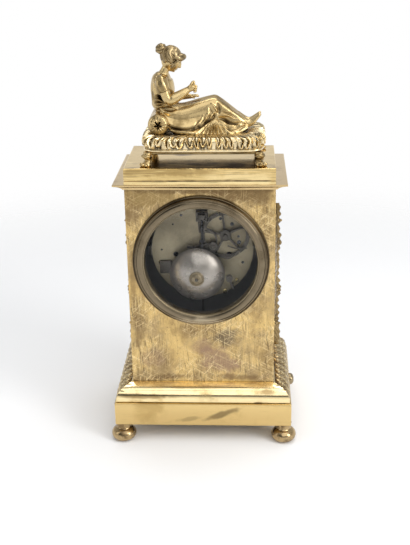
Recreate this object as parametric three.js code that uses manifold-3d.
// Gilt brass mantel clock seen from its back: a box case on ball feet with a round glazed
// bezel on each face, a striking spring movement inside, and a reclining figure on a daybed on top.
// Millimetres, +Z up, origin at the middle of the floor under the feet. The back faces -Y, the dial +Y.
import * as THREE from 'three';
import { ConvexGeometry } from 'three/addons/geometries/ConvexGeometry.js';
import { mergeVertices } from 'three/addons/utils/BufferGeometryUtils.js';
import Module from 'manifold-3d';

const wasm = await Module();
wasm.setup();

// Clearances.
const RUN_GAP = 0.3;
const PIVOT_GAP = 0.2;
const SEAT_GAP = 0.3;
const OVER = 1;
const WELD = 1e-4;
const BALL_DETAIL = 1;

// Feet and plinth.
const FOOT_BALL_R = 11.3;
const FOOT_BALL_H = 12;
const FOOT_NECK_R = 6.4;
const FOOT_NECK_H = 6;
const FOOT_NECK_IN = 1;
const FOOT_FLAT_R = 5;
const FOOT_RINGS = 5;
const FOOT_SIDES = 12;
const FOOT_IN_X = 6.5;
const FOOT_IN_Y = 8;
const PLINTH_X = 160;
const PLINTH_Y = 123;
const PLINTH_H = 22;
const PLINTH_WALL = 16;
const PLINTH_TOP = 4;
const BOSS_R = 5.6;
const BOSS_PROUD = 4.7;
const BOSS_DROP = 6;

// Base moulding between plinth and body.
const MOULD_H = 15.5;
const MOULD_INSET = 1.5;
const MOULD_WALL = 3;

// Body box of four plates.
const BODY_Y = 93;
const BODY_H = 181;
const PANEL = 2.5;

// Cornice and attic block.
const CORNICE_H = 4.5;
const CORNICE_EDGE = 1.4;
const CORNICE_SIDE = 10;
const CORNICE_FRONT = 10.5;
const BACK_PROUD = 2;
const ATTIC_Y = 81;
const ATTIC_H = 14.2;
const ATTIC_LINE_Z = 3.4;
const ATTIC_LINE = 0.5;

// Round bezels, glasses and dial.
const WINDOW_DROP = 64.5;
const BEZEL_R = 59.5;
const BEZEL_W = 10.75;
const BEZEL_MARGIN = 4.5;
const BEZEL_H = 6;
const BEZEL_SEAT = 0.3;
const BEZEL_EDGE_H = 2;
const BEZEL_SHOULDER_H = 4.6;
const BEZEL_DIP = 1.3;
const LIP_T = 0.9;
const LIP_DROP = 0.2;
const GROOVE_UP = 1;
const SPIGOT_WALL = 1.4;
const SPIGOT_L = 4.6;
const GLASS_T = 1.4;
const GLASS_LIP = 0.9;
const RIM_STEPS = 28;
const HINGE_R = 1.7;
const HINGE_PIN_R = 0.8;
const HINGE_L = 14;
const HINGE_OUT = 2.6;
const HINGE_SIDES = 12;
const LEAF_RISE = 0.6;
const LEAF_LAP = 1;
const DIAL_LAP = 1.55;
const DIAL_T = 1.2;
const HAND_T = 0.7;
const HAND_OFF = 0.8;
const HAND_RIM = 1.4;
const TIP_PAST = 0.6;
const HOUR_L = 27;
const HOUR_W = 1.7;
const HOUR_SET = THREE.MathUtils.degToRad(-305);
const MINUTE_L = 39;
const MINUTE_W = 1.4;
const MINUTE_SET = THREE.MathUtils.degToRad(-60);

// Movement plates and pillars.
const PLATE_R = 45.5;
const PLATE_T = 2;
const BACK_PLATE_Y = -16.5;
const FRONT_PLATE_Y = 22;
const PILLAR_R = 2.8;
const PILLAR_IN = 4;
const PILLAR_UP = THREE.MathUtils.degToRad(30);
const PILLAR_LOW = THREE.MathUtils.degToRad(-73);
const STRAP_T = 2;
const STRAP_W = 9;
const STRAP_OUT = 2.5;
const STRAP_PAST = 4;
const PIVOT_R = 0.5;
const PIVOT_L = 1.4;
const DIAL_FOOT_R = 1.6;
const DIAL_FOOT_IN = 2.9;
const DIAL_FOOT_TURN = THREE.MathUtils.degToRad(39);
const PLATE_SIDES = 32;
const STUD_L = 10.5;

// Wheel train: teeth, centre distances and the arbors that are set by hand.
const BARREL_TEETH = 48;
const BARREL_LEAVES = 8;
const BARREL_REACH = 19.25;
const BARREL_DRUM_R = 14;
const BARREL_DRUM_L = 13;
const BARREL_RIM_T = 2;
const BARREL_BORE = 2.6;
const BARREL_X = 24;
const BARREL_BACK = -4;
const BARREL_SIDES = 22;
const BARREL_TO_INTER = 2;
const INTER_TO_CENTRE = 4;
const INTER_TEETH = 36;
const INTER_LEAVES = 6;
const INTER_REACH = 13.44;
const CENTRE_TEETH = 72;
const CENTRE_LEAVES = 6;
const CENTRE_REACH = 12.675;
const THIRD_TEETH = 66;
const THIRD_LEAVES = 6;
const THIRD_REACH = 11.7;
const SCAPE_TEETH = 38;
const SCAPE_R = 8;
const SCAPE_DEEP = 1.4;
const SCAPE_RAKE = 0.35;
const SCAPE_UP = 19.5;
const NOSE_GAP = 0.9;
const NOSE_BACK = 2.4;
const NOSE_FRONT = 1.2;
const NOSE_TIP = 0.07;
const NOSE_ROOT = 0.13;
const ARM_W = 1.5;
const ANCHOR_REACH = 11;
const COUNT_X = 20.6;
const COUNT_Z = 14.7;
const COUNT_R = 21.7;
const COUNT_BACK = 2.7;
const COUNT_RIM = 3.2;
const COUNT_HUB = 4.2;
const COUNT_HUB_PROUD = 0.6;
const COUNT_T = 1.2;
const COUNT_NOTCH = 1.7;
const COUNT_SPOKES = 5;
const SPOKE_W = 1.8;
const SPOKE_TURN = 0.45;
const HOURS = 12;
const SECOND_TEETH = 54;
const SECOND_LEAVES = 6;
const SECOND_REACH = 11.1;
const PIN_TEETH = 36;
const PIN_LEAVES = 6;
const PIN_REACH = 9.45;
const PIN_COUNT = 10;
const PIN_CIRCLE = 5.6;
const LOCK_TEETH = 36;
const LOCK_LEAVES = 6;
const LOCK_REACH = 8.4;
const PIN_TURN = THREE.MathUtils.degToRad(110);
const LOCK_TURN = THREE.MathUtils.degToRad(140);
const FLY_TURN = THREE.MathUtils.degToRad(100);
const FLY_R = 4.4;
const FLY_L = 11;
const MOTION_LEAVES = 10;
const MOTION_TEETH = 30;
const HOUR_LEAVES = 8;
const HOUR_TEETH = 32;
const MOTION_REACH = 16;
const CANNON_R = 2.2;
const CANNON_OFF = 2;
const CANNON_TO_HOUR = 4.4;
const HOUR_PIPE_R = 3.5;
const THIRD_Y = -8.6;
const SCAPE_Y = -11.6;
const SECOND_Y = -11.2;
const PIN_Y = 0;
const LOCK_Y = 4;
const FLY_Y = 8;
const FLY_T = 0.6;
const PIN_PROUD = 1.6;
const WHEEL_T = 1.1;
const PINION_EXTRA = 0.45;
const ARBOR_R = 0.9;
const FINE_ARBOR_R = 0.5;
const CENTRE_ARBOR_R = 1.2;
const WIND_ARBOR_R = 2.2;
const WIND_SQUARE = 2.6;
const WIND_PROUD = 1;
const WIND_SHORT = 1;
const ARBOR_SIDES = 10;
const PIVOT_SIDES = 5;
const HUB_SIDES = 12;

// Back work: cock, pendulum, bell, hammer, lever cock.
const COCK_W = 12;
const COCK_T = 1.5;
const COCK_STAND = 4.7;
const COCK_H = 9.5;
const COCK_LEG = 3.4;
const POST_W = 7;
const POST_D = 4.6;
const POST_H = 5;
const POST_LIFT = 0.8;
const POST_WALL = 0.7;
const SLIT = 1.3;
const ROD_R = 0.9;
const ROD_BACK = 8.1;
const BOB_R = 14;
const BOB_T = 8;
const BOB_EDGE = 0.5;
const BOB_SIDES = 18;
const BOB_DROP = 127.5;
const ROD_TAIL = 2;
const SPRING_T = 0.25;
const SPRING_W = 2;
const SPRING_DOWN = 3.5;
const SPRING_SHORT = 2.2;
const CHOP_W = 3.2;
const CHOP_D = 2.6;
const CHOP_H = 3;
const CRUTCH_L = 21;
const CRUTCH_BACK = 4.3;
const CRUTCH_W = 2.2;
const CRUTCH_T = 1;
const FORK_HALF = 1.95;
const BELL_R = 24.5;
const BELL_DEEP = 11.5;
const BELL_WALL = 1.1;
const BELL_RINGS = 6;
const BELL_SIDES = 20;
const BELL_X = -4.5;
const BELL_Z = -19.5;
const BELL_MOUTH = 10.6;
const BELL_NUT_R = 6.75;
const BELL_NUT_T = 2.4;
const STAND_R = 1.5;
const STAND_X = -12;
const STAND_Z = -33;
const STAND_FOOT_T = 2.5;
const STAND_BEND = 2;
const STAND_PAST = 0.8;
const HAMMER_X = 27;
const HAMMER_Z = -32;
const HAMMER_HEAD_R = 3;
const HAMMER_CLEAR = 1.2;
const HAMMER_IN = 2.6;
const HAMMER_ARM_W = 1.8;
const HAMMER_ARM_T = 1.4;
const HAMMER_HEAD_L = 4.8;
const HAMMER_LEAN = THREE.MathUtils.degToRad(-5);
const LEVER_FOOT_X = -6;
const LEVER_FOOT_Z = 3.4;
const LEVER_HUB_X = 9.7;
const LEVER_HUB_Z = 4.9;
const LEVER_HUB_R = 4.7;
const LEVER_W = 3.4;
const LEVER_T = 1.2;
const LEVER_RIM = 1;
const LEVER_CLEAR = 0.6;

// Side mounts.
const MOUNT_LOW = 14.5;
const MOUNT_TALL = 141;
const MOUNT_T = 6.2;
const MOUNT_PLATE = 4.2;
const MOUNT_WIDE = 46;
const MOUNT_BOSS = 7.4;
const MOUNT_STEPS = 22;
const MOUNT_LOBES = 6;
const ROSETTE_LOW_R = 5.2;
const ROSETTE_MID_R = 6.4;
const ROSETTE_HIGH_R = 8.6;
const ROSETTE_TOP_R = 4.8;
const STEM_HALF = 2;
const STEM_END = 8;
const STEM_RIDGE_END = 10;

// Daybed, cushion and bolster.
const BED_LEG_H = 10.4;
const BED_LEG_R = 3.2;
const BED_LEG_X = 49;
const BED_LEG_Y = 29;
const ANKLE_H = 4.5;
const PAW_H = 1.6;
const PAW_OUT = 0.6;
const PAW_AHEAD = 1.6;
const LEG_CAP = 1;
const LEG_LEAN = 0.4;
const BED_PLATE_T = 1.6;
const BED_SHIFT_X = 3;
const BED_SHIFT_Y = -10;
const CUSHION_X = 103;
const CUSHION_Y = 69;
const CUSHION_H = 13.2;
const CUSHION_FOLDS = 38;
const CUSHION_ROUND = 7;
const CUSHION_ROWS = 4;
const FOLD_DEEP = 1.8;
const BOLSTER_R = 8.7;
const BOLSTER_L = 45;
const BOLSTER_X = -34.9;
const BOLSTER_BACK = 11.5;
const BOLSTER_SINK = 1;
const BOLSTER_SOFT = 4;
const BOLSTER_SIDES = 20;
const ROSETTE_R = 1.4;
const ROSETTE_DEEP = 0.8;

// Seated figure: stations of x, y off its middle, height over the seat, and the three half sizes there.
const FIGURE_SHIFT_Y = 1.5;
const HEAD = [-23.4, 0, 59.2, 9, 7.7, 9.9];
const BUN = [-33, 0, 65.6, 4.8, 4.6, 4.4];
const NECK = [[-29.6, 0, 46.5, 4, 5, 3], [-25.5, 0, 54, 3.4, 3.6, 3.4]];
const TORSO = [[-17, 0, 9.5, 10, 14, 9.5], [-29, 0, 20, 9.4, 11.5, 7.5], [-32, 0, 34.5, 10, 12, 8],
  [-32, 0, 42.5, 7.6, 13, 4.8], [-29.6, 0, 46.5, 4, 6, 3]];
const NEAR_ARM = [[-31, -13, 41, 4.4, 3.8, 4.4], [-26.4, -14.5, 26.5, 3.4, 3.2, 3.4],
  [-9.6, -10, 37, 2.3, 2.2, 2.3], [-4.8, -7, 42.5, 2.3, 2, 2.8]];
const FAR_ARM = [[-31, 13, 41, 4.4, 3.8, 4.4], [-26.4, 14, 26, 3.4, 3.2, 3.4],
  [-8.6, 8, 27.5, 2.3, 2.2, 2.3], [-3.4, 5, 28.5, 2.6, 2, 1.8]];
const LEG = [[-15, -6.5, 11, 8.6, 8.2, 8.4], [11, -5.8, 21.5, 6, 5.6, 6], [39, -5, 7, 3.6, 3.8, 3.4]];
const SHOE = [[40, -4.2, 5, 3, 3, 2.8], [50.8, -4.2, 12.4, 1.6, 2.2, 1.8]];
const SKIRT_SIDES = 20;
const SKIRT_HEM = [-27, 40, 20.5, 0];
const SKIRT_LIFT = [-26, 34, 16.5, 3];
const SKIRT_LAP = [[-15, 0, 11, 8, 14, 8], [11, 0, 19, 5, 11, 6], [32, 0, 6, 3, 10, 4]];

// Heights that follow.
const Z_PLINTH = FOOT_BALL_H + FOOT_NECK_H;
const Z_MOULD = Z_PLINTH + PLINTH_H;
const Z_BODY = Z_MOULD + MOULD_H;
const Z_CORNICE = Z_BODY + BODY_H;
const Z_ATTIC = Z_CORNICE + CORNICE_H;
const Z_BED = Z_ATTIC + ATTIC_H;
const Z_CUSHION = Z_BED + BED_LEG_H + BED_PLATE_T;
const Z_SEAT = Z_CUSHION + CUSHION_H;
const Z_DIAL = Z_CORNICE - WINDOW_DROP;
const HALF_X = BEZEL_R + BEZEL_MARGIN;
const SIGHT_R = BEZEL_R - BEZEL_W;
const HALF_Y = BODY_Y / 2;
const BACK_LINE = -HALF_Y - BACK_PROUD;
const HOLE_R = SIGHT_R + SPIGOT_WALL + RUN_GAP;
const DIAL_R = HOLE_R + DIAL_LAP;

// Materials.
const gilt = () => new THREE.MeshStandardMaterial({ color: 0xcda55f, roughness: 0.35, metalness: 1 });
const worn = () => new THREE.MeshStandardMaterial({ color: 0x9c8560, roughness: 0.4, metalness: 1 });
const bronze = () => new THREE.MeshStandardMaterial({ color: 0xb08c4a, roughness: 0.38, metalness: 1 });
const brass = () => new THREE.MeshStandardMaterial({ color: 0x9a9272, roughness: 0.4, metalness: 1 });
const steel = () => new THREE.MeshStandardMaterial({ color: 0x55565a, roughness: 0.35, metalness: 1 });
const bellMetal = () => new THREE.MeshStandardMaterial({ color: 0xb3aca6, roughness: 0.3, metalness: 1 });
const enamel = () => new THREE.MeshStandardMaterial({ color: 0xf3efe4, roughness: 0.25, metalness: 0 });
const glass = () => new THREE.MeshStandardMaterial({
  color: 0xeef4f2, roughness: 0.05, metalness: 0, transparent: true, opacity: 0.25,
});

// Solids.
function toSolid(geometry) {
  const bare = new THREE.BufferGeometry();
  bare.setAttribute('position', geometry.getAttribute('position').clone());
  if (geometry.index) bare.setIndex(geometry.index.clone());
  const merged = mergeVertices(bare, WELD);
  const at = merged.getAttribute('position');
  const raw = merged.index.array;
  const kept = [];
  const a = new THREE.Vector3();
  const b = new THREE.Vector3();
  const c = new THREE.Vector3();
  let volume = 0;
  for (let i = 0; i < raw.length; i += 3) {
    const [p, q, r] = [raw[i], raw[i + 1], raw[i + 2]];
    if (p === q || q === r || r === p) continue;
    kept.push(p, q, r);
    a.fromBufferAttribute(at, p);
    b.fromBufferAttribute(at, q);
    c.fromBufferAttribute(at, r);
    volume += a.dot(b.cross(c));
  }
  if (volume < 0) {
    for (let i = 0; i < kept.length; i += 3) [kept[i], kept[i + 1]] = [kept[i + 1], kept[i]];
  }
  return new wasm.Manifold(new wasm.Mesh({
    numProp: 3,
    vertProperties: new Float32Array(at.array),
    triVerts: new Uint32Array(kept),
  }));
}

function join(...solids) {
  return solids.flat().reduce((whole, piece) => whole.add(piece));
}

function cut(solid, ...tools) {
  return tools.flat().reduce((whole, tool) => whole.subtract(tool), solid);
}

function box(x0, x1, y0, y1, z0, z1) {
  const shape = new THREE.BoxGeometry(x1 - x0, y1 - y0, z1 - z0);
  shape.translate((x0 + x1) / 2, (y0 + y1) / 2, (z0 + z1) / 2);
  return toSolid(shape);
}

function rodY(x, z, r, y0, y1, sides = 12) {
  const shape = new THREE.CylinderGeometry(r, r, y1 - y0, sides);
  shape.translate(x, (y0 + y1) / 2, z);
  return toSolid(shape);
}

function rodZ(x, y, r, z0, z1, sides = 12) {
  const shape = new THREE.CylinderGeometry(r, r, z1 - z0, sides);
  shape.rotateX(Math.PI / 2);
  shape.translate(x, y, (z0 + z1) / 2);
  return toSolid(shape);
}

function turnY(x, z, profile, sides) {
  const shape = new THREE.LatheGeometry(profile.map(([r, y]) => new THREE.Vector2(r, y)), sides);
  shape.translate(x, 0, z);
  return toSolid(shape);
}

function turnZ(x, y, profile, sides) {
  const shape = new THREE.LatheGeometry(profile.map(([r, z]) => new THREE.Vector2(r, z)), sides);
  shape.rotateX(Math.PI / 2);
  shape.translate(x, y, 0);
  return toSolid(shape);
}

function flatY(points, y0, y1, holes = []) {
  const shape = new THREE.Shape(points);
  shape.holes = holes.map((ring) => new THREE.Path(ring));
  const solid = new THREE.ExtrudeGeometry(shape, { depth: y1 - y0, bevelEnabled: false });
  solid.rotateX(Math.PI / 2);
  solid.translate(0, y1, 0);
  return toSolid(solid);
}

function flatX(points, x0, x1) {
  const solid = new THREE.ExtrudeGeometry(new THREE.Shape(points), { depth: x1 - x0, bevelEnabled: false });
  solid.rotateX(Math.PI / 2);
  solid.rotateZ(Math.PI / 2);
  solid.translate(x0, 0, 0);
  return toSolid(solid);
}

function hull(points) {
  return toSolid(new ConvexGeometry(points));
}

function ring(x, z, r, sides, turn = 0) {
  return Array.from({ length: sides }, (_, i) => {
    const t = turn + (i * 2 * Math.PI) / sides;
    return new THREE.Vector2(x + r * Math.cos(t), z + r * Math.sin(t));
  });
}

function ballPoints(x, y, z, rx, ry, rz, detail = BALL_DETAIL) {
  const at = new THREE.IcosahedronGeometry(1, detail).getAttribute('position');
  return Array.from({ length: at.count }, (_, i) => new THREE.Vector3(
    x + rx * at.getX(i), y + ry * at.getY(i), z + rz * at.getZ(i),
  ));
}

function limb(stations, detail = BALL_DETAIL) {
  const balls = stations.map((station) => ballPoints(...station, detail));
  return join(balls.slice(1).map((next, i) => hull([...balls[i], ...next])));
}

function steps(levels) {
  const corners = ([x0, x1, y0, y1, z]) => [
    new THREE.Vector3(x0, y0, z), new THREE.Vector3(x1, y0, z),
    new THREE.Vector3(x1, y1, z), new THREE.Vector3(x0, y1, z),
  ];
  return join(levels.slice(1).map((upper, i) => hull([...corners(levels[i]), ...corners(upper)])));
}

const model = new THREE.Group();
function part(name, solid, material) {
  const mesh = solid.getMesh();
  const shape = new THREE.BufferGeometry();
  const places = new THREE.BufferAttribute(new Float32Array(mesh.vertProperties), mesh.numProp);
  shape.setAttribute('position', places);
  shape.setIndex(new THREE.BufferAttribute(new Uint32Array(mesh.triVerts), 1));
  shape.computeVertexNormals();
  const piece = new THREE.Mesh(shape, material);
  piece.name = name;
  model.add(piece);
}

// Feet: flattened balls with a neck that meets the plinth.
const footProfile = [[0, 0]];
for (let i = 0; i <= FOOT_RINGS; i += 1) {
  const t = -Math.PI / 2 + (Math.PI * i) / FOOT_RINGS;
  const r = FOOT_FLAT_R + (FOOT_BALL_R - FOOT_FLAT_R) * Math.cos(t);
  footProfile.push([r, (FOOT_BALL_H / 2) * (1 + Math.sin(t))]);
}
footProfile.push([FOOT_NECK_R - FOOT_NECK_IN, FOOT_BALL_H + FOOT_NECK_IN]);
footProfile.push([FOOT_NECK_R, Z_PLINTH], [0, Z_PLINTH]);
for (const [side, sx] of [['left', -1], ['right', 1]]) {
  for (const [end, sy] of [['rear', -1], ['front', 1]]) {
    const footX = sx * (PLINTH_X / 2 - FOOT_IN_X);
    const footY = sy * (PLINTH_Y / 2 - FOOT_IN_Y);
    part(`foot_${end}_${side}`, turnZ(footX, footY, footProfile, FOOT_SIDES), gilt());
  }
}

// Plinth: a cast slab, open underneath, with one round boss on its right side.
const plinth = cut(
  box(-PLINTH_X / 2, PLINTH_X / 2, -PLINTH_Y / 2, PLINTH_Y / 2, Z_PLINTH, Z_MOULD),
  box(
    -PLINTH_X / 2 + PLINTH_WALL, PLINTH_X / 2 - PLINTH_WALL,
    -PLINTH_Y / 2 + PLINTH_WALL, PLINTH_Y / 2 - PLINTH_WALL,
    Z_PLINTH - OVER, Z_MOULD - PLINTH_TOP,
  ),
);
part('plinth_slab', plinth, gilt());
const BOSS_PROFILE = [[0, 0], [BOSS_R, 0], [BOSS_R, BOSS_PROUD * 0.3], [BOSS_R * 0.9, BOSS_PROUD * 0.55],
  [BOSS_R * 0.68, BOSS_PROUD * 0.8], [BOSS_R * 0.35, BOSS_PROUD], [0, BOSS_PROUD]];
const boss = new THREE.LatheGeometry(BOSS_PROFILE.map(([r, h]) => new THREE.Vector2(r, h)), FOOT_SIDES);
boss.rotateZ(-Math.PI / 2);
boss.translate(PLINTH_X / 2, 0, Z_MOULD - BOSS_DROP);
part('plinth_boss_right', toSolid(boss), gilt());

// Base moulding: stepped ovolo from the plinth edge in to the body, a hollow frame.
const MOULD_CURVE = [[1, 0], [1, 0.1], [0.975, 0.3], [0.905, 0.49], [0.81, 0.62], [0.7, 0.705],
  [0.52, 0.82], [0.27, 0.92], [0.06, 1]];
const mouldOutX = PLINTH_X / 2 - MOULD_INSET - HALF_X;
const mouldOutY = PLINTH_Y / 2 - MOULD_INSET - HALF_Y;
const mouldLevels = MOULD_CURVE.map(([out, up]) => [
  -HALF_X - mouldOutX * out, HALF_X + mouldOutX * out,
  -HALF_Y - mouldOutY * out, HALF_Y + mouldOutY * out, Z_MOULD + MOULD_H * up,
]);
const mouldHole = box(
  -HALF_X + MOULD_WALL, HALF_X - MOULD_WALL, -HALF_Y + MOULD_WALL, HALF_Y - MOULD_WALL,
  Z_MOULD - OVER, Z_BODY + OVER,
);
part('base_moulding', cut(steps(mouldLevels), mouldHole), gilt());

// Body: back and front plates with round windows, side plates between them.
const windowRing = ring(0, Z_DIAL, HOLE_R, RIM_STEPS);
const plateOutline = [
  new THREE.Vector2(-HALF_X, Z_BODY), new THREE.Vector2(HALF_X, Z_BODY),
  new THREE.Vector2(HALF_X, Z_CORNICE), new THREE.Vector2(-HALF_X, Z_CORNICE),
];
part('rear_panel', flatY(plateOutline, -HALF_Y, -HALF_Y + PANEL, [windowRing]), gilt());
part('front_panel', flatY(plateOutline, HALF_Y - PANEL, HALF_Y, [windowRing]), gilt());
const sidePanel = (x0, x1) => box(x0, x1, -HALF_Y + PANEL, HALF_Y - PANEL, Z_BODY, Z_CORNICE);
part('side_panel_left', sidePanel(-HALF_X, -HALF_X + PANEL), gilt());
part('side_panel_right', sidePanel(HALF_X - PANEL, HALF_X), gilt());

// Cornice: a thin ledge over a cove on the front and sides, cut flush at the back.
const CORNICE_CURVE = [[0, 0], [0.12, 0.22], [0.4, 0.5], [0.88, 0.62], [1, 0.68], [1, 1]];
const cornice = steps(CORNICE_CURVE.map(([out, up]) => [
  -HALF_X - CORNICE_SIDE * out, HALF_X + CORNICE_SIDE * out, BACK_LINE, HALF_Y + CORNICE_FRONT * out,
  Z_CORNICE + (up < 1 ? ((CORNICE_H - CORNICE_EDGE) * up) / 0.68 : CORNICE_H),
]));
part('cornice', cornice, gilt());

// Attic block with a fine line round it.
const attic = (inset, z0, z1) => box(
  -HALF_X + inset, HALF_X - inset, BACK_LINE + inset, BACK_LINE + ATTIC_Y - inset, z0, z1,
);
part('attic_block', join(
  attic(0, Z_ATTIC, Z_ATTIC + ATTIC_LINE_Z),
  attic(ATTIC_LINE, Z_ATTIC + ATTIC_LINE_Z, Z_ATTIC + ATTIC_LINE_Z + ATTIC_LINE),
  attic(0, Z_ATTIC + ATTIC_LINE_Z + ATTIC_LINE, Z_BED),
), gilt());

// Bezels: moulded rings with a spigot that enters the window and a groove that holds the glass.
const spigotOut = SIGHT_R + SPIGOT_WALL;
const grooveR = SIGHT_R + GLASS_LIP;
const grooveLow = BEZEL_SEAT + GROOVE_UP;
const grooveTop = grooveLow + GLASS_T + SEAT_GAP;
const band = BEZEL_R - spigotOut;
const BEZEL_CURVE = [
  [spigotOut, -1], [spigotOut, BEZEL_SEAT], [BEZEL_R, BEZEL_SEAT], [BEZEL_R, BEZEL_EDGE_H],
  [BEZEL_R - 0.22 * band, BEZEL_SHOULDER_H], [BEZEL_R - 0.5 * band, BEZEL_H],
  [BEZEL_R - 0.66 * band, BEZEL_H - BEZEL_DIP], [spigotOut, grooveTop + LIP_T + LIP_DROP],
  [SIGHT_R, grooveTop + LIP_T],
  [SIGHT_R, grooveTop], [grooveR, grooveTop], [grooveR, grooveLow], [SIGHT_R, grooveLow],
  [SIGHT_R, -1], [spigotOut, -1],
];
const facing = (face, way, spigot) => BEZEL_CURVE.map(([r, h]) => [r, face + way * (h < 0 ? -spigot : h)]);
const paneY = (face, way) => [
  face + way * (grooveLow + SEAT_GAP / 2), face + way * (grooveTop - SEAT_GAP / 2),
];
part('rear_bezel', turnY(0, Z_DIAL, facing(-HALF_Y, -1, SPIGOT_L), RIM_STEPS), worn());
const [rearIn, rearOut] = paneY(-HALF_Y, -1);
part('rear_glass', rodY(0, Z_DIAL, grooveR - RUN_GAP, rearOut, rearIn, RIM_STEPS), glass());

// Front door: its bezel carries the middle knuckle, the case carries the two outer ones and the pin.
const hingeX = -BEZEL_R - HINGE_OUT;
const hingeY = HALF_Y + HINGE_R + SEAT_GAP;
const knuckleZ = (share) => Z_DIAL + HINGE_L * (share - 0.5);
const knuckle = (from, to) => rodZ(hingeX, hingeY, HINGE_R, knuckleZ(from), knuckleZ(to), HINGE_SIDES);
const frontRing = turnY(0, Z_DIAL, facing(HALF_Y, 1, PANEL - SEAT_GAP), RIM_STEPS);
const thirdGap = RUN_GAP / HINGE_L;
const doorKnuckle = cut(
  join(
    knuckle(1 / 3 + thirdGap, 2 / 3 - thirdGap),
    box(hingeX, -BEZEL_R + LEAF_LAP, hingeY - HINGE_R + LEAF_RISE, hingeY + LEAF_RISE,
      knuckleZ(1 / 3 + thirdGap), knuckleZ(2 / 3 - thirdGap)),
  ),
  rodZ(hingeX, hingeY, HINGE_PIN_R + PIVOT_GAP, knuckleZ(0), knuckleZ(1), HINGE_SIDES),
);
part('front_bezel', join(frontRing, doorKnuckle), gilt());
const [frontIn, frontOut] = paneY(HALF_Y, 1);
part('front_glass', rodY(0, Z_DIAL, grooveR - RUN_GAP, frontIn, frontOut, RIM_STEPS), glass());
part('front_hinge', join(
  rodZ(hingeX, hingeY, HINGE_PIN_R, knuckleZ(0), knuckleZ(1), HINGE_SIDES),
  knuckle(0, 1 / 3 - thirdGap),
  knuckle(2 / 3 + thirdGap, 1),
  box(hingeX - HINGE_R / 2, hingeX + HINGE_R / 2, HALF_Y, hingeY, knuckleZ(0), knuckleZ(1 / 3 - thirdGap)),
  box(hingeX - HINGE_R / 2, hingeX + HINGE_R / 2, HALF_Y, hingeY, knuckleZ(2 / 3 + thirdGap), knuckleZ(1)),
), gilt());

// Arbor places in the movement, from the tooth counts and the centre distances.
const spot = (x, z) => new THREE.Vector2(x, z);
function between(p, reachP, q, reachQ, side) {
  const along = new THREE.Vector2().subVectors(q, p);
  const gap = along.length();
  along.divideScalar(gap);
  const a = (reachP * reachP - reachQ * reachQ + gap * gap) / (2 * gap);
  const h = side * Math.sqrt(reachP * reachP - a * a);
  return spot(p.x + along.x * a - along.y * h, p.y + along.y * a + along.x * h);
}
const away = (p, reach, turn) => spot(p.x + reach * Math.cos(turn), p.y + reach * Math.sin(turn));
const centre = spot(0, Z_DIAL);
const second = spot(COUNT_X, Z_DIAL + COUNT_Z);
const barrelZ = second.y - Math.sqrt(BARREL_REACH ** 2 - (BARREL_X - COUNT_X) ** 2);
const strikeBarrel = spot(BARREL_X, barrelZ);
const goingBarrel = spot(-BARREL_X, barrelZ);
const inter = between(goingBarrel, BARREL_REACH, centre, INTER_REACH, 1);
const scape = spot(0, Z_DIAL + SCAPE_UP);
const third = between(centre, CENTRE_REACH, scape, THIRD_REACH, -1);
const anchor = spot(0, scape.y + ANCHOR_REACH);
const pinWheel = away(second, SECOND_REACH, PIN_TURN);
const lock = away(pinWheel, PIN_REACH, LOCK_TURN);
const fly = away(lock, LOCK_REACH, FLY_TURN);
const minuteStud = spot(0, Z_DIAL - MOTION_REACH);
const hammer = spot(HAMMER_X, Z_DIAL + HAMMER_Z);

// Wheels have pointed teeth, pinions slim leaves, with backlash between them.
const moduleOf = (reach, teeth, leaves) => (2 * reach) / (teeth + leaves);
const WHEEL_ADD = 0.7;
const WHEEL_DED = 1.9;
const LEAF_ADD = 0.6;
const LEAF_DED = 1.25;
const LEAF_TIP = 0.15;
const LEAF_ROOT = 0.5;
function toothed(at, count, size, turn, y0, y1, leaf) {
  const r = (count * size) / 2;
  const half = Math.PI / count;
  const points = [];
  for (let i = 0; i < count; i += 1) {
    const t = turn + 2 * half * i;
    if (leaf) {
      points.push([r - LEAF_DED * size, t - LEAF_ROOT * half], [r + LEAF_ADD * size, t - LEAF_TIP * half],
        [r + LEAF_ADD * size, t + LEAF_TIP * half], [r - LEAF_DED * size, t + LEAF_ROOT * half]);
    } else {
      points.push([r + WHEEL_ADD * size, t], [r - WHEEL_DED * size, t + half]);
    }
  }
  return flatY(points.map(([d, t]) => spot(at.x + d * Math.cos(t), at.y + d * Math.sin(t))), y0, y1);
}
// The leaf turn that puts a gap of the pinion on a tooth of the wheel.
function meshTurn(wheel, teeth, turn, pinion, leaves) {
  const line = Math.atan2(pinion.y - wheel.y, pinion.x - wheel.x);
  const phase = ((turn - line) * teeth) / (2 * Math.PI);
  return line + Math.PI + ((2 * Math.PI) / leaves) * (0.5 - phase);
}

// Layers through the movement.
const BACK_IN = BACK_PLATE_Y + PLATE_T;
const FRONT_IN = FRONT_PLATE_Y;
const FRONT_OUT = FRONT_PLATE_Y + PLATE_T;
const BARREL_FRONT = BARREL_BACK + BARREL_DRUM_L;
const INTER_Y = BARREL_FRONT + BARREL_RIM_T + BARREL_TO_INTER;
const CENTRE_Y = INTER_Y + INTER_TO_CENTRE;
const pinionSpan = (y, t = WHEEL_T) => [y - PINION_EXTRA, y + t + PINION_EXTRA];
const shoulder = RUN_GAP;
const spindle = (at, r, y0 = BACK_IN, y1 = FRONT_IN) => join(
  rodY(at.x, at.y, r, y0 + shoulder, y1 - shoulder, PIVOT_SIDES + 1),
  rodY(at.x, at.y, PIVOT_R, y0 - PIVOT_L, y1 + PIVOT_L, PIVOT_SIDES),
);

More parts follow.
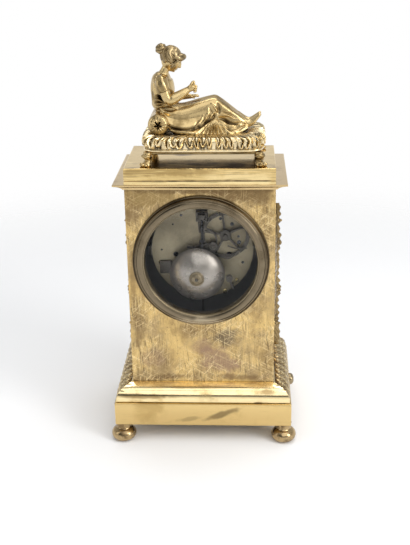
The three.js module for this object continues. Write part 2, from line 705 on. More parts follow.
// Plates: pivot holes in both, pillars riveted in the front plate reach the back plate.
const pivots = [inter, scape, third, second, pinWheel, lock, fly];
const pivotHole = (p) => ring(p.x, p.y, PIVOT_R + PIVOT_GAP, PIVOT_SIDES + 1);
const bigHole = (p, r) => ring(p.x, p.y, r + PIVOT_GAP, HUB_SIDES);
part('back_plate', flatY(ring(0, Z_DIAL, PLATE_R, PLATE_SIDES), BACK_PLATE_Y, BACK_IN, [
  ...[inter, scape, third, pinWheel, lock, fly, centre].map(pivotHole),
  ...[goingBarrel, strikeBarrel].map((p) => bigHole(p, WIND_ARBOR_R)),
  bigHole(second, ARBOR_R), bigHole(anchor, ARBOR_R), bigHole(hammer, ARBOR_R),
]), brass());
const pillarAt = [PILLAR_UP, PILLAR_LOW, Math.PI - PILLAR_UP, Math.PI - PILLAR_LOW].map((turn) => (
  away(centre, PLATE_R - PILLAR_IN, turn)
));
const frontPlate = flatY(ring(0, Z_DIAL, PLATE_R, PLATE_SIDES), FRONT_IN, FRONT_OUT, [
  ...pivots.map(pivotHole), pivotHole(anchor), pivotHole(hammer),
  ...[goingBarrel, strikeBarrel].map((p) => bigHole(p, WIND_ARBOR_R)), bigHole(centre, CENTRE_ARBOR_R),
]);
const pillars = pillarAt.map((p) => rodY(p.x, p.y, PILLAR_R, BACK_IN, FRONT_IN, ARBOR_SIDES));
const motionStud = rodY(
  minuteStud.x, minuteStud.y, CENTRE_ARBOR_R, FRONT_IN, FRONT_OUT + STUD_L, ARBOR_SIDES,
);
part('front_plate', join(frontPlate, ...pillars, motionStud), brass());

// Straps tie the plates' rims to the two case plates.
for (const [side, sx] of [['left', -1], ['right', 1]]) {
  const inner = sx * PLATE_R;
  const outer = sx * (PLATE_R + STRAP_T);
  const foot = sx * (DIAL_R + STRAP_OUT);
  const strapBox = (xa, xb, y0, y1) => box(
    Math.min(xa, xb), Math.max(xa, xb), y0, y1, Z_DIAL - STRAP_W / 2, Z_DIAL + STRAP_W / 2,
  );
  part(`movement_strap_${side}`, join(
    strapBox(inner, outer, BACK_PLATE_Y - STRAP_PAST, FRONT_OUT + STRAP_T),
    strapBox(inner, foot, FRONT_OUT + STRAP_T, FRONT_OUT + STRAP_T * 2),
    strapBox(foot - sx * STRAP_T, foot, FRONT_OUT + STRAP_T, HALF_Y - PANEL),
  ), steel());
}

// Going train.
const barrelM = moduleOf(BARREL_REACH, BARREL_TEETH, BARREL_LEAVES);
const interM = moduleOf(INTER_REACH, INTER_TEETH, INTER_LEAVES);
const centreM = moduleOf(CENTRE_REACH, CENTRE_TEETH, CENTRE_LEAVES);
const thirdM = moduleOf(THIRD_REACH, THIRD_TEETH, THIRD_LEAVES);
const goingLeafTurn = meshTurn(goingBarrel, BARREL_TEETH, 0, inter, BARREL_LEAVES);
const centreLeafTurn = meshTurn(inter, INTER_TEETH, 0, centre, INTER_LEAVES);
const thirdLeafTurn = meshTurn(centre, CENTRE_TEETH, 0, third, CENTRE_LEAVES);
const scapeLeafTurn = meshTurn(third, THIRD_TEETH, 0, scape, THIRD_LEAVES);
const drum = (at, rimY) => cut(
  join(
    rodY(at.x, at.y, BARREL_DRUM_R, BARREL_BACK, BARREL_FRONT, BARREL_SIDES),
    toothed(at, BARREL_TEETH, barrelM, 0, rimY, rimY + BARREL_RIM_T, false),
  ),
  rodY(at.x, at.y, BARREL_BORE, BARREL_BACK - BARREL_RIM_T - OVER, BARREL_FRONT + BARREL_RIM_T + OVER,
    ARBOR_SIDES),
);
part('going_barrel', drum(goingBarrel, BARREL_FRONT), brass());
const windArbor = (at) => join(
  rodY(at.x, at.y, WIND_ARBOR_R, BACK_PLATE_Y, HALF_Y - PANEL - WIND_SHORT, HUB_SIDES),
  box(at.x - WIND_SQUARE / 2, at.x + WIND_SQUARE / 2, HALF_Y - PANEL - WIND_SHORT * 1.5, HALF_Y + WIND_PROUD,
    at.y - WIND_SQUARE / 2, at.y + WIND_SQUARE / 2),
);
part('going_winding_arbor', windArbor(goingBarrel), steel());
part('intermediate_wheel', join(
  spindle(inter, ARBOR_R),
  toothed(inter, BARREL_LEAVES, barrelM, goingLeafTurn, ...pinionSpan(BARREL_FRONT, BARREL_RIM_T), true),
  toothed(inter, INTER_TEETH, interM, 0, INTER_Y, INTER_Y + WHEEL_T, false),
), brass());
const CANNON_Y = FRONT_OUT + CANNON_OFF;
const HOUR_Y = CANNON_Y + CANNON_TO_HOUR;
const DIAL_Y = HALF_Y - PANEL - DIAL_T;
const HOUR_HAND_Y = HALF_Y - PANEL + HAND_OFF;
const MINUTE_HAND_Y = HOUR_HAND_Y + HAND_T + HAND_OFF;
const CENTRE_TIP = MINUTE_HAND_Y + HAND_T + TIP_PAST;
part('centre_wheel', join(
  rodY(centre.x, centre.y, CENTRE_ARBOR_R, BACK_IN + shoulder, CENTRE_TIP, HUB_SIDES),
  rodY(centre.x, centre.y, PIVOT_R, BACK_IN - PIVOT_L, BACK_IN + OVER, PIVOT_SIDES),
  toothed(centre, INTER_LEAVES, interM, centreLeafTurn, ...pinionSpan(INTER_Y), true),
  toothed(centre, CENTRE_TEETH, centreM, 0, CENTRE_Y, CENTRE_Y + WHEEL_T, false),
), brass());
part('third_wheel', join(
  spindle(third, FINE_ARBOR_R),
  toothed(third, CENTRE_LEAVES, centreM, thirdLeafTurn, ...pinionSpan(CENTRE_Y), true),
  toothed(third, THIRD_TEETH, thirdM, 0, THIRD_Y, THIRD_Y + WHEEL_T, false),
), brass());

// Escape wheel with raked teeth, and the anchor whose noses stand just clear of the tooth tips.
const scapePoints = [];
for (let i = 0; i < SCAPE_TEETH; i += 1) {
  const t = (2 * Math.PI * i) / SCAPE_TEETH;
  const pitch = (2 * Math.PI) / SCAPE_TEETH;
  scapePoints.push(away(scape, SCAPE_R, t), away(scape, SCAPE_R - SCAPE_DEEP, t + SCAPE_RAKE * pitch));
}
part('escape_wheel', join(
  spindle(scape, FINE_ARBOR_R),
  toothed(scape, THIRD_LEAVES, thirdM, scapeLeafTurn, ...pinionSpan(THIRD_Y), true),
  flatY(scapePoints, SCAPE_Y, SCAPE_Y + WHEEL_T),
), brass());
const NOSE_R = SCAPE_R + NOSE_GAP;
const NOSE_TURN = Math.acos(SCAPE_R / ANCHOR_REACH);
const nose = (sx, r, extra) => spot(
  sx * r * Math.sin(NOSE_TURN + extra), scape.y + r * Math.cos(NOSE_TURN + extra),
);
const anchorShape = [
  spot(-ARM_W, anchor.y + ARM_W), spot(ARM_W, anchor.y + ARM_W),
  nose(1, NOSE_R + NOSE_BACK, NOSE_ROOT), nose(1, NOSE_R, NOSE_TIP),
  nose(1, NOSE_R, -NOSE_TIP), nose(1, NOSE_R + NOSE_FRONT, -NOSE_ROOT),
  spot(ARM_W, anchor.y - ARM_W), spot(-ARM_W, anchor.y - ARM_W),
  nose(-1, NOSE_R + NOSE_FRONT, -NOSE_ROOT), nose(-1, NOSE_R, -NOSE_TIP),
  nose(-1, NOSE_R, NOSE_TIP), nose(-1, NOSE_R + NOSE_BACK, NOSE_ROOT),
];
const CRUTCH_Y = BACK_PLATE_Y - CRUTCH_BACK;
const COUNT_Y = BACK_PLATE_Y - COUNT_BACK;
const COCK_Y = BACK_PLATE_Y - COCK_STAND;
const ROD_Y = BACK_PLATE_Y - ROD_BACK;
const forkPin = (x) => rodY(
  x, anchor.y - CRUTCH_L, PIVOT_R, ROD_Y - ROD_R - CRUTCH_T, CRUTCH_Y + CRUTCH_T / 2, PIVOT_SIDES,
);
part('anchor_and_crutch', join(
  rodY(anchor.x, anchor.y, ARBOR_R, CRUTCH_Y, FRONT_IN - shoulder, ARBOR_SIDES),
  rodY(anchor.x, anchor.y, PIVOT_R, COCK_Y - COCK_T + RUN_GAP, FRONT_IN + PIVOT_L, PIVOT_SIDES),
  flatY(anchorShape, SCAPE_Y, SCAPE_Y + WHEEL_T),
  box(-CRUTCH_W / 2, CRUTCH_W / 2, CRUTCH_Y, CRUTCH_Y + CRUTCH_T, anchor.y - CRUTCH_L, anchor.y),
  box(-FORK_HALF - PIVOT_R, FORK_HALF + PIVOT_R, CRUTCH_Y, CRUTCH_Y + CRUTCH_T,
    anchor.y - CRUTCH_L - CRUTCH_T, anchor.y - CRUTCH_L + CRUTCH_T),
  forkPin(-FORK_HALF),
  forkPin(FORK_HALF),
), steel());

// Back cock: a bridge over the anchor arbor with a slit post for the suspension spring.
const cockBack = COCK_Y - COCK_T;
const postLow = anchor.y + POST_LIFT;
const cockLow = anchor.y - COCK_H / 4;
const cockTop = cockLow + COCK_H;
part('suspension_cock', cut(
  join(
    box(-COCK_W / 2, COCK_W / 2, cockBack, COCK_Y, cockLow, cockTop),
    box(-COCK_W / 2, -COCK_W / 2 + COCK_LEG, COCK_Y, BACK_PLATE_Y, cockTop - COCK_LEG, cockTop),
    box(COCK_W / 2 - COCK_LEG, COCK_W / 2, COCK_Y, BACK_PLATE_Y, cockTop - COCK_LEG, cockTop),
    box(-POST_W / 2, POST_W / 2, cockBack - POST_D, cockBack, postLow, postLow + POST_H),
  ),
  rodY(anchor.x, anchor.y, PIVOT_R + PIVOT_GAP, cockBack - PIVOT_GAP, COCK_Y + OVER, PIVOT_SIDES + 1),
  box(-SLIT / 2, SLIT / 2, cockBack - POST_D + POST_WALL, cockBack - POST_WALL,
    postLow - OVER, postLow + POST_H - POST_WALL),
), brass());

// Pendulum: flat spring in the slit, chop, rod and lens bob.
const bobZ = anchor.y - BOB_DROP;
const bobProfile = [[0, -BOB_T / 2], [BOB_R * 0.6, -BOB_T * 0.34], [BOB_R, -BOB_EDGE],
  [BOB_R, BOB_EDGE], [BOB_R * 0.6, BOB_T * 0.34], [0, BOB_T / 2]];
part('pendulum', join(
  box(-SPRING_T / 2, SPRING_T / 2, ROD_Y - SPRING_W / 2, ROD_Y + SPRING_W / 2,
    anchor.y - SPRING_DOWN, postLow + POST_H - SPRING_SHORT),
  box(-CHOP_W / 2, CHOP_W / 2, ROD_Y - CHOP_D / 2, ROD_Y + CHOP_D / 2,
    anchor.y - 2 * CHOP_H, anchor.y - CHOP_H),
  rodZ(0, ROD_Y, ROD_R, bobZ - BOB_R - ROD_TAIL, anchor.y - 2 * CHOP_H + OVER, ARBOR_SIDES),
  turnY(0, bobZ, bobProfile.map(([r, y]) => [r, ROD_Y + y]), BOB_SIDES),
), brass());

// Strike train.
const secondM = moduleOf(SECOND_REACH, SECOND_TEETH, SECOND_LEAVES);
const pinM = moduleOf(PIN_REACH, PIN_TEETH, PIN_LEAVES);
const lockM = moduleOf(LOCK_REACH, LOCK_TEETH, LOCK_LEAVES);
const strikeLeafTurn = meshTurn(strikeBarrel, BARREL_TEETH, 0, second, BARREL_LEAVES);
const pinLeafTurn = meshTurn(second, SECOND_TEETH, 0, pinWheel, SECOND_LEAVES);
const lockLeafTurn = meshTurn(pinWheel, PIN_TEETH, 0, lock, PIN_LEAVES);
const flyLeafTurn = meshTurn(lock, LOCK_TEETH, 0, fly, LOCK_LEAVES);
const strikeRimY = BARREL_BACK - BARREL_RIM_T;
part('strike_barrel', drum(strikeBarrel, strikeRimY), brass());
part('strike_winding_arbor', windArbor(strikeBarrel), steel());
part('strike_second_wheel', join(
  rodY(second.x, second.y, ARBOR_R, COUNT_Y, FRONT_IN - shoulder, ARBOR_SIDES),
  rodY(second.x, second.y, PIVOT_R, FRONT_IN - OVER, FRONT_IN + PIVOT_L, PIVOT_SIDES),
  toothed(second, BARREL_LEAVES, barrelM, strikeLeafTurn, ...pinionSpan(strikeRimY, BARREL_RIM_T), true),
  toothed(second, SECOND_TEETH, secondM, 0, SECOND_Y, SECOND_Y + WHEEL_T, false),
), brass());
const pinAt = Array.from({ length: PIN_COUNT }, (_, i) => (
  away(pinWheel, PIN_CIRCLE, (2 * Math.PI * i) / PIN_COUNT)
));
part('pin_wheel', join(
  spindle(pinWheel, ARBOR_R),
  toothed(pinWheel, SECOND_LEAVES, secondM, pinLeafTurn, ...pinionSpan(SECOND_Y), true),
  toothed(pinWheel, PIN_TEETH, pinM, 0, PIN_Y, PIN_Y + WHEEL_T, false),
  ...pinAt.map((p) => rodY(p.x, p.y, PIVOT_R, PIN_Y + WHEEL_T / 2, PIN_Y + WHEEL_T + PIN_PROUD, PIVOT_SIDES)),
), brass());
part('locking_wheel', join(
  spindle(lock, FINE_ARBOR_R),
  toothed(lock, PIN_LEAVES, pinM, lockLeafTurn, ...pinionSpan(PIN_Y), true),
  toothed(lock, LOCK_TEETH, lockM, 0, LOCK_Y, LOCK_Y + WHEEL_T, false),
), brass());
part('strike_fly', join(
  spindle(fly, FINE_ARBOR_R),
  toothed(fly, LOCK_LEAVES, lockM, flyLeafTurn, ...pinionSpan(LOCK_Y), true),
  box(fly.x - FLY_R, fly.x + FLY_R, FLY_Y, FLY_Y + FLY_L, fly.y - FLY_T / 2, fly.y + FLY_T / 2),
), steel());

// Count wheel: notched rim, five spokes and a hub, on the second arbor behind the back plate.
const BLOWS = (HOURS * (HOURS + 1)) / 2 + HOURS;
const countRim = [];
let blows = 0;
for (let hour = 1; hour <= HOURS; hour += 1) {
  const from = (2 * Math.PI * blows) / BLOWS;
  blows += hour + 1;
  const notch = (2 * Math.PI * (blows - 0.9)) / BLOWS;
  const until = (2 * Math.PI * blows) / BLOWS;
  const arcs = Math.max(1, Math.round(hour / 3));
  for (let i = 0; i <= arcs; i += 1) countRim.push(away(second, COUNT_R, from + ((notch - from) * i) / arcs));
  countRim.push(away(second, COUNT_R - COUNT_NOTCH, notch), away(second, COUNT_R - COUNT_NOTCH, until));
}
const spokes = Array.from({ length: COUNT_SPOKES }, (_, i) => {
  const t = SPOKE_TURN + (2 * Math.PI * i) / COUNT_SPOKES;
  const far = COUNT_R - COUNT_RIM;
  const sideways = (d, w) => spot(
    second.x + d * Math.cos(t) - w * Math.sin(t), second.y + d * Math.sin(t) + w * Math.cos(t),
  );
  return flatY([
    sideways(OVER, -SPOKE_W / 2), sideways(far, -SPOKE_W / 2),
    sideways(far, SPOKE_W / 2), sideways(OVER, SPOKE_W / 2),
  ], COUNT_Y, COUNT_Y + COUNT_T);
});
const countBore = rodY(
  second.x, second.y, ARBOR_R + PIVOT_GAP, COUNT_Y - 2 * OVER, COUNT_Y + COUNT_T + OVER, ARBOR_SIDES,
);
part('count_wheel', cut(
  join(
    flatY(countRim, COUNT_Y, COUNT_Y + COUNT_T, [ring(second.x, second.y, COUNT_R - COUNT_RIM, 20)]),
    ...spokes,
    rodY(second.x, second.y, COUNT_HUB, COUNT_Y - COUNT_HUB_PROUD, COUNT_Y + COUNT_T, HUB_SIDES),
  ),
  countBore,
), brass());

// Bell on a bent stand, its crown nut, and the hammer beside its rim.
const bell = spot(BELL_X, Z_DIAL + BELL_Z);
const bellMouth = BACK_PLATE_Y - BELL_MOUTH;
const bellArc = (inset, count) => Array.from({ length: count + 1 }, (_, i) => {
  const t = (Math.PI / 2) * (1 - i / count);
  return [
    STAND_R + PIVOT_GAP + (BELL_R - inset - STAND_R - PIVOT_GAP) * Math.sin(t) ** 0.7,
    bellMouth - (BELL_DEEP - inset) * Math.cos(t) ** 1.25,
  ];
});
const bellOut = bellArc(0, BELL_RINGS);
const bellIn = bellArc(BELL_WALL, BELL_RINGS - 2).reverse();
part('bell', turnY(bell.x, bell.y, [...bellOut, ...bellIn, bellOut[0]], BELL_SIDES), bellMetal());
const crown = bellMouth - BELL_DEEP;
const nutProfile = [[STAND_R + PIVOT_GAP, crown], [BELL_NUT_R, crown], [BELL_NUT_R, crown - BELL_NUT_T * 0.4],
  [BELL_NUT_R * 0.8, crown - BELL_NUT_T * 0.8], [BELL_NUT_R * 0.4, crown - BELL_NUT_T],
  [STAND_R + PIVOT_GAP, crown - BELL_NUT_T], [STAND_R + PIVOT_GAP, crown]];
part('bell_nut', turnY(bell.x, bell.y, nutProfile, HUB_SIDES), brass());
const standFoot = spot(STAND_X, Z_DIAL + STAND_Z);
const bendY = bellMouth - STAND_BEND;
const seatY = crown + BELL_WALL + SEAT_GAP;
const at3 = (p, y) => [p.x, y, p.y];
const rodBall = (place) => [...place, STAND_R, STAND_R, STAND_R];
part('bell_stand', join(
  rodY(standFoot.x, standFoot.y, STAND_R * 2, BACK_PLATE_Y - STAND_FOOT_T, BACK_PLATE_Y, HUB_SIDES),
  rodY(standFoot.x, standFoot.y, STAND_R, bendY, BACK_PLATE_Y - OVER, HUB_SIDES),
  limb([rodBall(at3(standFoot, bendY)), rodBall(at3(bell, seatY + STAND_R * 2))], 0),
  rodY(bell.x, bell.y, STAND_R * 2, seatY, seatY + STAND_R * 2, HUB_SIDES),
  rodY(bell.x, bell.y, STAND_R, crown - BELL_NUT_T - STAND_PAST, seatY + OVER, HUB_SIDES),
), steel());
const headReach = BELL_R + HAMMER_CLEAR + HAMMER_HEAD_R;
const head = away(bell, headReach, HAMMER_LEAN);
const strikeY = bellMouth - HAMMER_IN;
const headBack = strikeY - HAMMER_HEAD_L * 0.66;
const armDir = new THREE.Vector2().subVectors(head, hammer).normalize();
const armSide = (p, w) => spot(p.x - armDir.y * w, p.y + armDir.x * w);
part('hammer', join(
  rodY(hammer.x, hammer.y, ARBOR_R, strikeY - HAMMER_ARM_T, FRONT_IN - shoulder, ARBOR_SIDES),
  rodY(hammer.x, hammer.y, PIVOT_R, FRONT_IN - OVER, FRONT_IN + PIVOT_L, PIVOT_SIDES),
  flatY([
    armSide(hammer, -HAMMER_ARM_W / 2), armSide(head, -HAMMER_ARM_W / 2),
    armSide(head, HAMMER_ARM_W / 2), armSide(hammer, HAMMER_ARM_W / 2),
  ], strikeY - HAMMER_ARM_T, strikeY),
  rodY(head.x, head.y, HAMMER_HEAD_R, headBack, headBack + HAMMER_HEAD_L, HUB_SIDES),
), steel());

// Lever cock: a bar from its foot by the centre to a ring hub over the count wheel.
const leverFoot = spot(LEVER_FOOT_X, Z_DIAL + LEVER_FOOT_Z);
const leverHub = spot(LEVER_HUB_X, Z_DIAL + LEVER_HUB_Z);
const leverY = CRUTCH_Y - LEVER_CLEAR;
const leverDir = new THREE.Vector2().subVectors(leverHub, leverFoot).normalize();
const leverSide = (p, w) => spot(p.x - leverDir.y * w, p.y + leverDir.x * w);
part('lever_cock', join(
  rodY(leverFoot.x, leverFoot.y, LEVER_W / 2, leverY - LEVER_T, BACK_PLATE_Y, HUB_SIDES),
  flatY([leverSide(leverFoot, -LEVER_W / 2), leverSide(leverHub, -LEVER_W / 2),
    leverSide(leverHub, LEVER_W / 2), leverSide(leverFoot, LEVER_W / 2)], leverY - LEVER_T, leverY),
  turnY(leverHub.x, leverHub.y, [[0, leverY], [LEVER_HUB_R, leverY], [LEVER_HUB_R, leverY - LEVER_T],
    [LEVER_HUB_R * 0.85, leverY - LEVER_T - LEVER_RIM], [LEVER_HUB_R * 0.6, leverY - LEVER_T - LEVER_RIM],
    [LEVER_HUB_R * 0.6, leverY - LEVER_T], [0, leverY - LEVER_T]], HUB_SIDES),
), brass());

// Motion work, dial and hands.
const motionM = moduleOf(MOTION_REACH, MOTION_TEETH, MOTION_LEAVES);
const hourM = moduleOf(MOTION_REACH, HOUR_TEETH, HOUR_LEAVES);
const cannonTurn = meshTurn(minuteStud, MOTION_TEETH, 0, centre, MOTION_LEAVES);
const hourLeafTurn = meshTurn(centre, HOUR_TEETH, 0, minuteStud, HOUR_LEAVES);
part('cannon_pinion', cut(
  join(
    toothed(centre, MOTION_LEAVES, motionM, cannonTurn, ...pinionSpan(CANNON_Y), true),
    rodY(centre.x, centre.y, CANNON_R, CANNON_Y, MINUTE_HAND_Y, HUB_SIDES),
  ),
  rodY(centre.x, centre.y, CENTRE_ARBOR_R + PIVOT_GAP, FRONT_OUT, CENTRE_TIP + OVER, HUB_SIDES),
), steel());
part('minute_wheel', cut(
  join(
    toothed(minuteStud, MOTION_TEETH, motionM, 0, CANNON_Y, CANNON_Y + WHEEL_T, false),
    toothed(minuteStud, HOUR_LEAVES, hourM, hourLeafTurn, CANNON_Y + WHEEL_T,
      HOUR_Y + WHEEL_T + PINION_EXTRA, true),
  ),
  rodY(minuteStud.x, minuteStud.y, CENTRE_ARBOR_R + PIVOT_GAP, FRONT_OUT, HOUR_HAND_Y, HUB_SIDES),
), brass());
part('hour_wheel', cut(
  join(
    toothed(centre, HOUR_TEETH, hourM, 0, HOUR_Y, HOUR_Y + WHEEL_T, false),
    rodY(centre.x, centre.y, HOUR_PIPE_R, HOUR_Y, HOUR_HAND_Y, HUB_SIDES),
  ),
  rodY(centre.x, centre.y, CANNON_R + PIVOT_GAP, HOUR_Y - OVER, HOUR_HAND_Y + OVER, HUB_SIDES),
), brass());
part('dial', flatY(ring(0, Z_DIAL, DIAL_R, RIM_STEPS), DIAL_Y, DIAL_Y + DIAL_T, [
  ring(0, Z_DIAL, HOUR_PIPE_R + RUN_GAP, HUB_SIDES),
  ...[goingBarrel, strikeBarrel].map((p) => ring(p.x, p.y, WIND_ARBOR_R + WIND_SHORT, HUB_SIDES)),
]), enamel());
const footTurns = [Math.PI - DIAL_FOOT_TURN, DIAL_FOOT_TURN, Math.PI + DIAL_FOOT_TURN, -DIAL_FOOT_TURN];
const footSpots = footTurns.map((turn) => away(centre, PLATE_R - DIAL_FOOT_IN, turn));
footSpots.forEach((p, i) => {
  part(`dial_foot_${i + 1}`, rodY(p.x, p.y, DIAL_FOOT_R, FRONT_OUT, DIAL_Y, ARBOR_SIDES), brass());
});
function hand(length, width, bore, y, turn) {
  const half = [[1.4, -0.06], [1.5, 0.06], [0.5, 0.18], [0.4, 0.6], [1, 0.72]]
    .map(([across, along]) => [width * across, length * along]);
  const outline = [...half, [0, length], ...half.map(([u, v]) => [-u, v]).reverse()];
  const turned = outline.map(([u, v]) => spot(
    centre.x + u * Math.cos(turn) - v * Math.sin(turn), centre.y + u * Math.sin(turn) + v * Math.cos(turn),
  ));
  return cut(
    join(flatY(turned, y, y + HAND_T), rodY(centre.x, centre.y, bore + HAND_RIM, y, y + HAND_T, HUB_SIDES)),
    rodY(centre.x, centre.y, bore, y - OVER, y + HAND_T + OVER, HUB_SIDES),
  );
}
part('hour_hand', hand(HOUR_L, HOUR_W, CANNON_R + PIVOT_GAP, HOUR_HAND_Y, HOUR_SET), steel());
part('minute_hand', hand(MINUTE_L, MINUTE_W, CENTRE_ARBOR_R + PIVOT_GAP, MINUTE_HAND_Y, MINUTE_SET), steel());

// Side mounts: a stem of leaf scrolls with round rosettes, lying on each side plate.
function sideMount(sx) {
  const face = sx * HALF_X;
  const low = Z_BODY + MOUNT_LOW;
  const half = Array.from({ length: MOUNT_STEPS + 1 }, (_, i) => {
    const s = i / MOUNT_STEPS;
    const swell = Math.sin(Math.PI * s) ** 0.5;
    const lobes = 0.55 + 0.3 * Math.abs(Math.sin(MOUNT_LOBES * Math.PI * s)) + 0.15 * Math.sin(Math.PI * s);
    const waist = 0.62 + 0.38 * Math.cos(2 * Math.PI * (s - 0.6));
    return [(MOUNT_WIDE / 2) * swell * lobes * waist, low + MOUNT_TALL * s];
  });
  const outline = [...half.slice(1, -1), ...half.slice(1, -1).reverse().map(([w, z]) => [-w, z])];
  const shape = outline.map(([w, z]) => new THREE.Vector2(w, z));
  const proud = face + sx * MOUNT_PLATE;
  const plate = flatX(shape, Math.min(face, proud), Math.max(face, proud));
  const places = [[0.16, ROSETTE_LOW_R], [0.4, ROSETTE_MID_R], [0.73, ROSETTE_HIGH_R], [0.88, ROSETTE_TOP_R]];
  const rosettes = places.map(([s, r]) => hull(
    ballPoints(face, 0, low + MOUNT_TALL * s, MOUNT_BOSS, r, r).filter((p) => sx * (p.x - face) >= 0)
      .concat(ballPoints(face, 0, low + MOUNT_TALL * s, 0, r, r)),
  ));
  const stem = hull([
    new THREE.Vector3(face, -STEM_HALF, low + STEM_END),
    new THREE.Vector3(face, STEM_HALF, low + STEM_END),
    new THREE.Vector3(face, -STEM_HALF, low + MOUNT_TALL - STEM_END),
    new THREE.Vector3(face, STEM_HALF, low + MOUNT_TALL - STEM_END),
    new THREE.Vector3(face + sx * MOUNT_T, 0, low + STEM_RIDGE_END),
    new THREE.Vector3(face + sx * MOUNT_T, 0, low + MOUNT_TALL - STEM_RIDGE_END),
  ]);
  return join(plate, stem, ...rosettes);
}
part('side_mount_left', sideMount(-1), bronze());
part('side_mount_right', sideMount(1), bronze());

// Daybed: four paw legs under a plate.
const bedX = BED_SHIFT_X;
const bedY = BED_SHIFT_Y;
const legAt = [[-1, -1], [1, -1], [-1, 1], [1, 1]].map(([sx, sy]) => (
  [bedX + sx * BED_LEG_X, bedY + sy * BED_LEG_Y, sx, sy]
));
const legs = legAt.map(([x, y, sx, sy]) => {
  const top = Z_BED + BED_LEG_H;
  const r = BED_LEG_R;
  const ankle = ballPoints(x, y, Z_BED + ANKLE_H, r * 0.62, r * 0.7, LEG_CAP, 0);
  const pawAt = [x + sx * PAW_OUT, y + sy * PAW_AHEAD, Z_BED + PAW_H];
  const paw = ballPoints(...pawAt, r * 1.15, r * 1.45, PAW_H * 1.5);
  paw.forEach((p) => {
    p.z = Math.max(p.z, Z_BED);
  });
  return join(
    hull([...paw, ...ankle]),
    hull([...ankle, ...ballPoints(x, y - sy * LEG_LEAN, top, r * 1.1, r * 1.2, LEG_CAP, 0)]),
  );
});
part('daybed_frame', join(
  box(bedX - BED_LEG_X, bedX + BED_LEG_X, bedY - BED_LEG_Y, bedY + BED_LEG_Y,
    Z_BED + BED_LEG_H - LEG_CAP, Z_CUSHION),
  ...legs,
), bronze());

// Cushion: pillow section drawn in by upright folds along its sides, with a low crown.
const CUSHION_TURNS = CUSHION_FOLDS * 2;
function roundedOutline(hx, hy, r) {
  const outline = new THREE.Path();
  outline.moveTo(hx, r - hy);
  outline.lineTo(hx, hy - r);
  outline.absarc(hx - r, hy - r, r, 0, Math.PI / 2);
  outline.lineTo(r - hx, hy);
  outline.absarc(r - hx, hy - r, r, Math.PI / 2, Math.PI);
  outline.lineTo(-hx, r - hy);
  outline.absarc(r - hx, r - hy, r, Math.PI, 1.5 * Math.PI);
  outline.lineTo(hx - r, -hy);
  outline.absarc(hx - r, r - hy, r, 1.5 * Math.PI, 2 * Math.PI);
  return outline.getSpacedPoints(CUSHION_TURNS);
}
function cushionSolid() {
  const points = [];
  const index = [];
  for (let j = 0; j <= CUSHION_ROWS; j += 1) {
    const v = j / CUSHION_ROWS;
    const drawIn = CUSHION_ROUND * (1 - Math.sin(Math.PI * (0.14 + 0.72 * v)) ** 0.6);
    const ridge = roundedOutline(CUSHION_X / 2 - drawIn, CUSHION_Y / 2 - drawIn, CUSHION_ROUND);
    const valleyIn = drawIn + FOLD_DEEP * Math.sin(Math.PI * v);
    const valley = roundedOutline(CUSHION_X / 2 - valleyIn, CUSHION_Y / 2 - valleyIn, CUSHION_ROUND);
    for (let i = 0; i < CUSHION_TURNS; i += 1) {
      const edge = i % 2 ? valley[i] : ridge[i];
      points.push(bedX + edge.x, bedY + edge.y, Z_CUSHION + CUSHION_H * v);
    }
  }
  const at = (i, j) => j * CUSHION_TURNS + (i % CUSHION_TURNS);
  for (let j = 0; j < CUSHION_ROWS; j += 1) {
    for (let i = 0; i < CUSHION_TURNS; i += 1) {
      index.push(at(i, j), at(i + 1, j), at(i + 1, j + 1), at(i, j), at(i + 1, j + 1), at(i, j + 1));
    }
  }
  const lowMid = points.length / 3;
  points.push(bedX, bedY, Z_CUSHION, bedX, bedY, Z_SEAT);
  for (let i = 0; i < CUSHION_TURNS; i += 1) {
    index.push(lowMid, at(i + 1, 0), at(i, 0), lowMid + 1, at(i, CUSHION_ROWS), at(i + 1, CUSHION_ROWS));
  }
  const shape = new THREE.BufferGeometry();
  shape.setAttribute('position', new THREE.Float32BufferAttribute(points, 3));
  shape.setIndex(index);
  return toSolid(shape);
}
part('cushion', cushionSolid(), bronze());

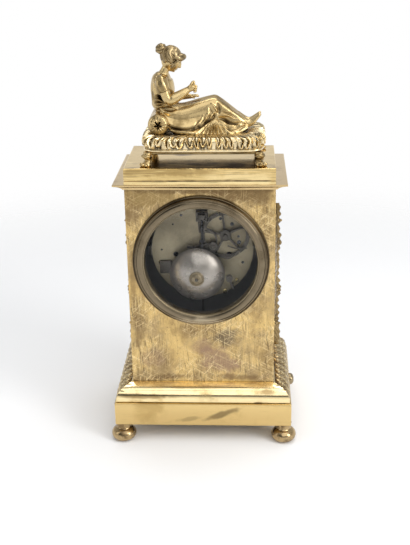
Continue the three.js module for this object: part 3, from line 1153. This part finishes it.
// Bolster across the head of the bed, with a rosette pressed into its end.
const bolsterZ = Z_SEAT + BOLSTER_R - BOLSTER_SINK;
const bolsterBack = bedY - CUSHION_Y / 2 + BOLSTER_BACK;
const bolsterEnd = [[0.55, 0], [0.9, 0.35], [1, 1]].map(([r, y]) => [r * BOLSTER_R, y * BOLSTER_SOFT]);
const bolsterProfile = [
  [0, ROSETTE_DEEP], [ROSETTE_R, 0], ...bolsterEnd,
  ...bolsterEnd.map(([r, y]) => [r, BOLSTER_L - y]).reverse(), [0, BOLSTER_L],
];
const bolster = (grow) => turnY(
  BOLSTER_X, bolsterZ, bolsterProfile.map(([r, y]) => [r > 0 ? r + grow : 0, bolsterBack + y]), BOLSTER_SIDES,
);
const seatCut = box(-PLINTH_X, PLINTH_X, -PLINTH_X, PLINTH_X, Z_BODY, Z_SEAT);
part('bolster', cut(bolster(0), seatCut), bronze());

// Figure: torso raised at the head of the bed, knees bent, skirt spread over the cushion.
const fy = bedY + FIGURE_SHIFT_Y;
const set = ([x, y, z, rx, ry, rz]) => [x, fy + y, Z_SEAT + z, rx, ry, rz];
const body = (stations, detail) => limb(stations.map(set), detail);
const flip = (stations) => stations.map(([x, y, z, ...sizes]) => [x, -y, z, ...sizes]);
const skirtRing = (x0, x1, half, z) => Array.from({ length: SKIRT_SIDES }, (_, i) => {
  const t = (2 * Math.PI * i) / SKIRT_SIDES;
  const x = (x0 + x1) / 2 + ((x1 - x0) / 2) * Math.cos(t);
  return new THREE.Vector3(x, fy + half * Math.sin(t), Z_SEAT + z);
});
const skirt = hull([
  ...skirtRing(...SKIRT_HEM), ...skirtRing(...SKIRT_LIFT),
  ...SKIRT_LAP.flatMap((lap) => ballPoints(...set(lap))),
]);
const figure = join(
  body(TORSO), body(NECK, 0), hull(ballPoints(...set(HEAD))), hull(ballPoints(...set(BUN))),
  body(NEAR_ARM, 0), body(FAR_ARM, 0), body(LEG, 0), body(flip(LEG), 0), body(SHOE, 0), body(flip(SHOE), 0),
  skirt,
);
part('figure', cut(figure, seatCut, bolster(SEAT_GAP)), bronze());

export default model;
